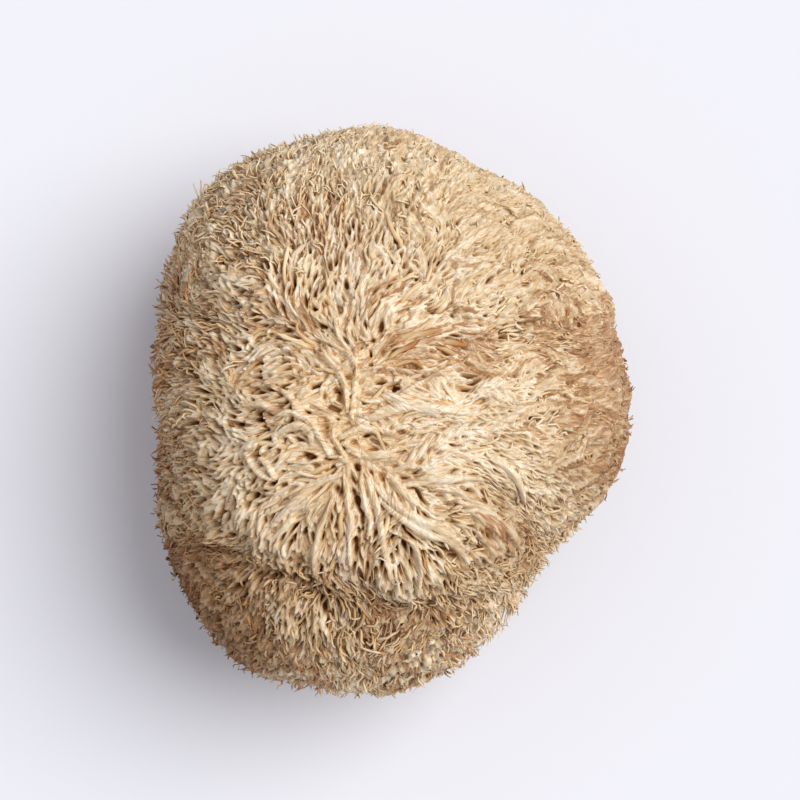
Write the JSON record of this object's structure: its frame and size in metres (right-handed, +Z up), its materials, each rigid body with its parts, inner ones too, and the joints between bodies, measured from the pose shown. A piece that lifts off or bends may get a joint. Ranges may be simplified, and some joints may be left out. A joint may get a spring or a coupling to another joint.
{
  "type": "dried lion's mane mushroom",
  "caption": "Whole dried lion's mane mushroom: a lumpy bun of flesh covered all over in combed spines, with a flat stem cut that it rests on.",
  "frame": {"origin": "centre of the bounding box, at the flat cut of the stem that it rests on", "axes": "+Z up through the crown, +Y towards the round upper lobe and along the longest side, +X towards the right-hand lobe; the notch lies towards +X -Y"},
  "size_m": [0.0735, 0.0889, 0.0522],
  "materials": {
    "dried_spines": "dry matt fibrous, cream to tan with brown tips"
  },
  "bodies": {
    "root": {"fruiting_body": "dried_spines"}
  },
  "joints": []
}
